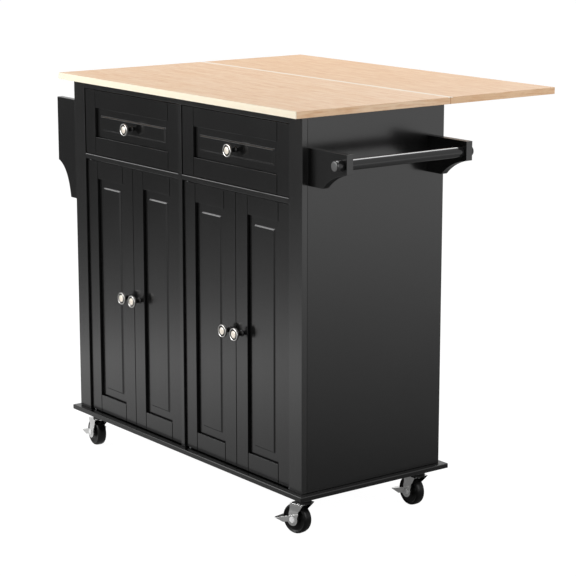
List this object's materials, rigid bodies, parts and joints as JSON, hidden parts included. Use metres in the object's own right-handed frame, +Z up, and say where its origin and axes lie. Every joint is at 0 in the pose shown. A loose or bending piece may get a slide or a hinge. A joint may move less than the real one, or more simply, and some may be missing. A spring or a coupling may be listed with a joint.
{
  "type": "drop leaf kitchen island",
  "caption": "Kitchen island cabinet on swivel casters, with framed doors and drawers, a pale worktop with a fold-down rear leaf, a towel rail and a spice rack.",
  "frame": {"origin": "on the floor, under the centre of the whole outline with the leaf raised", "axes": "+X along the width towards the towel rail's end, +Y from the doors to the back where the leaf is, +Z up"},
  "size_m": [1.1, 0.7264, 0.925],
  "materials": {
    "black_paint": "satin black paint on wooden boards",
    "pale_wood": "clear satin lacquer on pale natural wood",
    "drawer_wood": "plain sanded wood",
    "nickel": "satin nickel plating",
    "gloss_black": "smooth gloss black enamel on a steel tube",
    "zinc_steel": "zinc-plated pressed steel",
    "black_rubber": "smooth black rubber tread and wheel"
  },
  "bodies": {
    "cabinet": {"base_plate": "black_paint", "left_side_panel": "black_paint", "right_side_panel": "black_paint", "left_stile": "black_paint", "right_stile": "black_paint", "left_drawer_deck": "black_paint", "right_drawer_deck": "black_paint", "left_shelf": "black_paint", "right_shelf": "black_paint", "top_rail": "black_paint", "center_divider": "black_paint", "back_panel": "black_paint", "worktop": "pale_wood", "left_drawer_outer_runner": "drawer_wood", "left_drawer_inner_runner": "drawer_wood", "right_drawer_outer_runner": "drawer_wood", "right_drawer_inner_runner": "drawer_wood", "towel_bracket_front": "black_paint", "towel_bracket_rear": "black_paint", "towel_rod": "gloss_black", "spice_rack_front_end": "black_paint", "spice_rack_rear_end": "black_paint", "spice_rack_shelf": "black_paint", "spice_rack_rail": "black_paint", "front_left_caster_plate": "nickel", "front_right_caster_plate": "nickel", "rear_left_caster_plate": "nickel", "rear_right_caster_plate": "nickel", "left_leaf_guide": "zinc_steel", "right_leaf_guide": "zinc_steel"},
    "leaf": {"drop_leaf": "pale_wood", "left_leaf_arm": "zinc_steel", "right_leaf_arm": "zinc_steel"},
    "left_strut": {"left_leaf_strut": "zinc_steel"},
    "right_strut": {"right_leaf_strut": "zinc_steel"},
    "door_one": {"door_1": "black_paint", "door_1_knob": "nickel"},
    "door_two": {"door_2": "black_paint", "door_2_knob": "nickel"},
    "door_three": {"door_3": "black_paint", "door_3_knob": "nickel"},
    "door_four": {"door_4": "black_paint", "door_4_knob": "nickel"},
    "left_drawer": {"left_drawer_front": "black_paint", "left_drawer_knob": "nickel", "left_drawer_box": "drawer_wood"},
    "right_drawer": {"right_drawer_front": "black_paint", "right_drawer_knob": "nickel", "right_drawer_box": "drawer_wood"},
    "front_left_fork": {"front_left_caster_fork": "nickel"},
    "front_left_wheel": {"front_left_caster_wheel": "black_rubber"},
    "front_left_lever": {"front_left_caster_lever": "nickel"},
    "front_right_fork": {"front_right_caster_fork": "nickel"},
    "front_right_wheel": {"front_right_caster_wheel": "black_rubber"},
    "front_right_lever": {"front_right_caster_lever": "nickel"},
    "rear_left_fork": {"rear_left_caster_fork": "nickel"},
    "rear_left_wheel": {"rear_left_caster_wheel": "black_rubber"},
    "rear_right_fork": {"rear_right_caster_fork": "nickel"},
    "rear_right_wheel": {"rear_right_caster_wheel": "black_rubber"},
    "rear_right_lever": {"rear_right_caster_lever": "nickel"}
  },
  "joints": [
    {"name": "leaf_hinge", "type": "hinge", "parent": "cabinet", "child": "leaf", "pos_m": [-0.022, 0.05275, 0.907], "axis": [-1, 0, 0], "range_deg": [0, 90]},
    {"name": "left_strut_fold", "type": "hinge", "parent": "leaf", "child": "left_strut", "pos_m": [-0.292, 0.17275, 0.9006], "axis": [1, 0, 0], "range_deg": [0, 135]},
    {"name": "right_strut_fold", "type": "hinge", "parent": "leaf", "child": "right_strut", "pos_m": [0.248, 0.17275, 0.9006], "axis": [1, 0, 0], "range_deg": [0, 135]},
    {"name": "door_1_hinge", "type": "hinge", "parent": "cabinet", "child": "door_one", "pos_m": [-0.415, -0.32275, 0.414], "axis": [0, 0, -1], "range_deg": [0, 105]},
    {"name": "door_2_hinge", "type": "hinge", "parent": "cabinet", "child": "door_two", "pos_m": [-0.0385, -0.32275, 0.414], "axis": [0, 0, 1], "range_deg": [0, 85]},
    {"name": "door_3_hinge", "type": "hinge", "parent": "cabinet", "child": "door_three", "pos_m": [-0.0055, -0.32275, 0.414], "axis": [0, 0, -1], "range_deg": [0, 85]},
    {"name": "door_4_hinge", "type": "hinge", "parent": "cabinet", "child": "door_four", "pos_m": [0.371, -0.32275, 0.414], "axis": [0, 0, 1], "range_deg": [0, 105]},
    {"name": "left_drawer_slide", "type": "slide", "parent": "cabinet", "child": "left_drawer", "axis": [0, -1, 0], "range_m": [0, 0.26]},
    {"name": "right_drawer_slide", "type": "slide", "parent": "cabinet", "child": "right_drawer", "axis": [0, -1, 0], "range_m": [0, 0.26]},
    {"name": "front_left_swivel", "type": "hinge", "parent": "cabinet", "child": "front_left_fork", "pos_m": [-0.436, -0.29945, 0.084], "axis": [0, 0, 1], "continuous": true},
    {"name": "front_left_roll", "type": "hinge", "parent": "front_left_fork", "child": "front_left_wheel", "pos_m": [-0.45486, -0.29713, 0.0335], "axis": [0.1219, 0.9925, 0], "continuous": true},
    {"name": "front_left_brake", "type": "hinge", "parent": "front_left_fork", "child": "front_left_lever", "pos_m": [-0.45486, -0.29713, 0.0335], "axis": [-0.1219, -0.9925, 0], "range_deg": [0, 12]},
    {"name": "front_right_swivel", "type": "hinge", "parent": "cabinet", "child": "front_right_fork", "pos_m": [0.392, -0.29945, 0.084], "axis": [0, 0, 1], "continuous": true},
    {"name": "front_right_roll", "type": "hinge", "parent": "front_right_fork", "child": "front_right_wheel", "pos_m": [0.37342, -0.3034, 0.0335], "axis": [-0.2079, 0.9781, 0], "continuous": true},
    {"name": "front_right_brake", "type": "hinge", "parent": "front_right_fork", "child": "front_right_lever", "pos_m": [0.37342, -0.3034, 0.0335], "axis": [0.2079, -0.9781, 0], "range_deg": [0, 12]},
    {"name": "rear_left_swivel", "type": "hinge", "parent": "cabinet", "child": "rear_left_fork", "pos_m": [-0.436, 0.02095, 0.084], "axis": [0, 0, 1], "continuous": true},
    {"name": "rear_left_roll", "type": "hinge", "parent": "rear_left_fork", "child": "rear_left_wheel", "pos_m": [-0.455, 0.02095, 0.0335], "axis": [0, 1, 0], "continuous": true},
    {"name": "rear_right_swivel", "type": "hinge", "parent": "cabinet", "child": "rear_right_fork", "pos_m": [0.392, 0.02095, 0.084], "axis": [0, 0, 1], "continuous": true},
    {"name": "rear_right_roll", "type": "hinge", "parent": "rear_right_fork", "child": "rear_right_wheel", "pos_m": [0.373, 0.02095, 0.0335], "axis": [0, 1, 0], "continuous": true},
    {"name": "rear_right_brake", "type": "hinge", "parent": "rear_right_fork", "child": "rear_right_lever", "pos_m": [0.373, 0.02095, 0.0335], "axis": [0, -1, 0], "range_deg": [0, 12]}
  ],
  "couplings": [
    {"joint": "left_strut_fold", "follows": "leaf_hinge", "ratio": 1.5},
    {"joint": "right_strut_fold", "follows": "leaf_hinge", "ratio": 1.5}
  ]
}
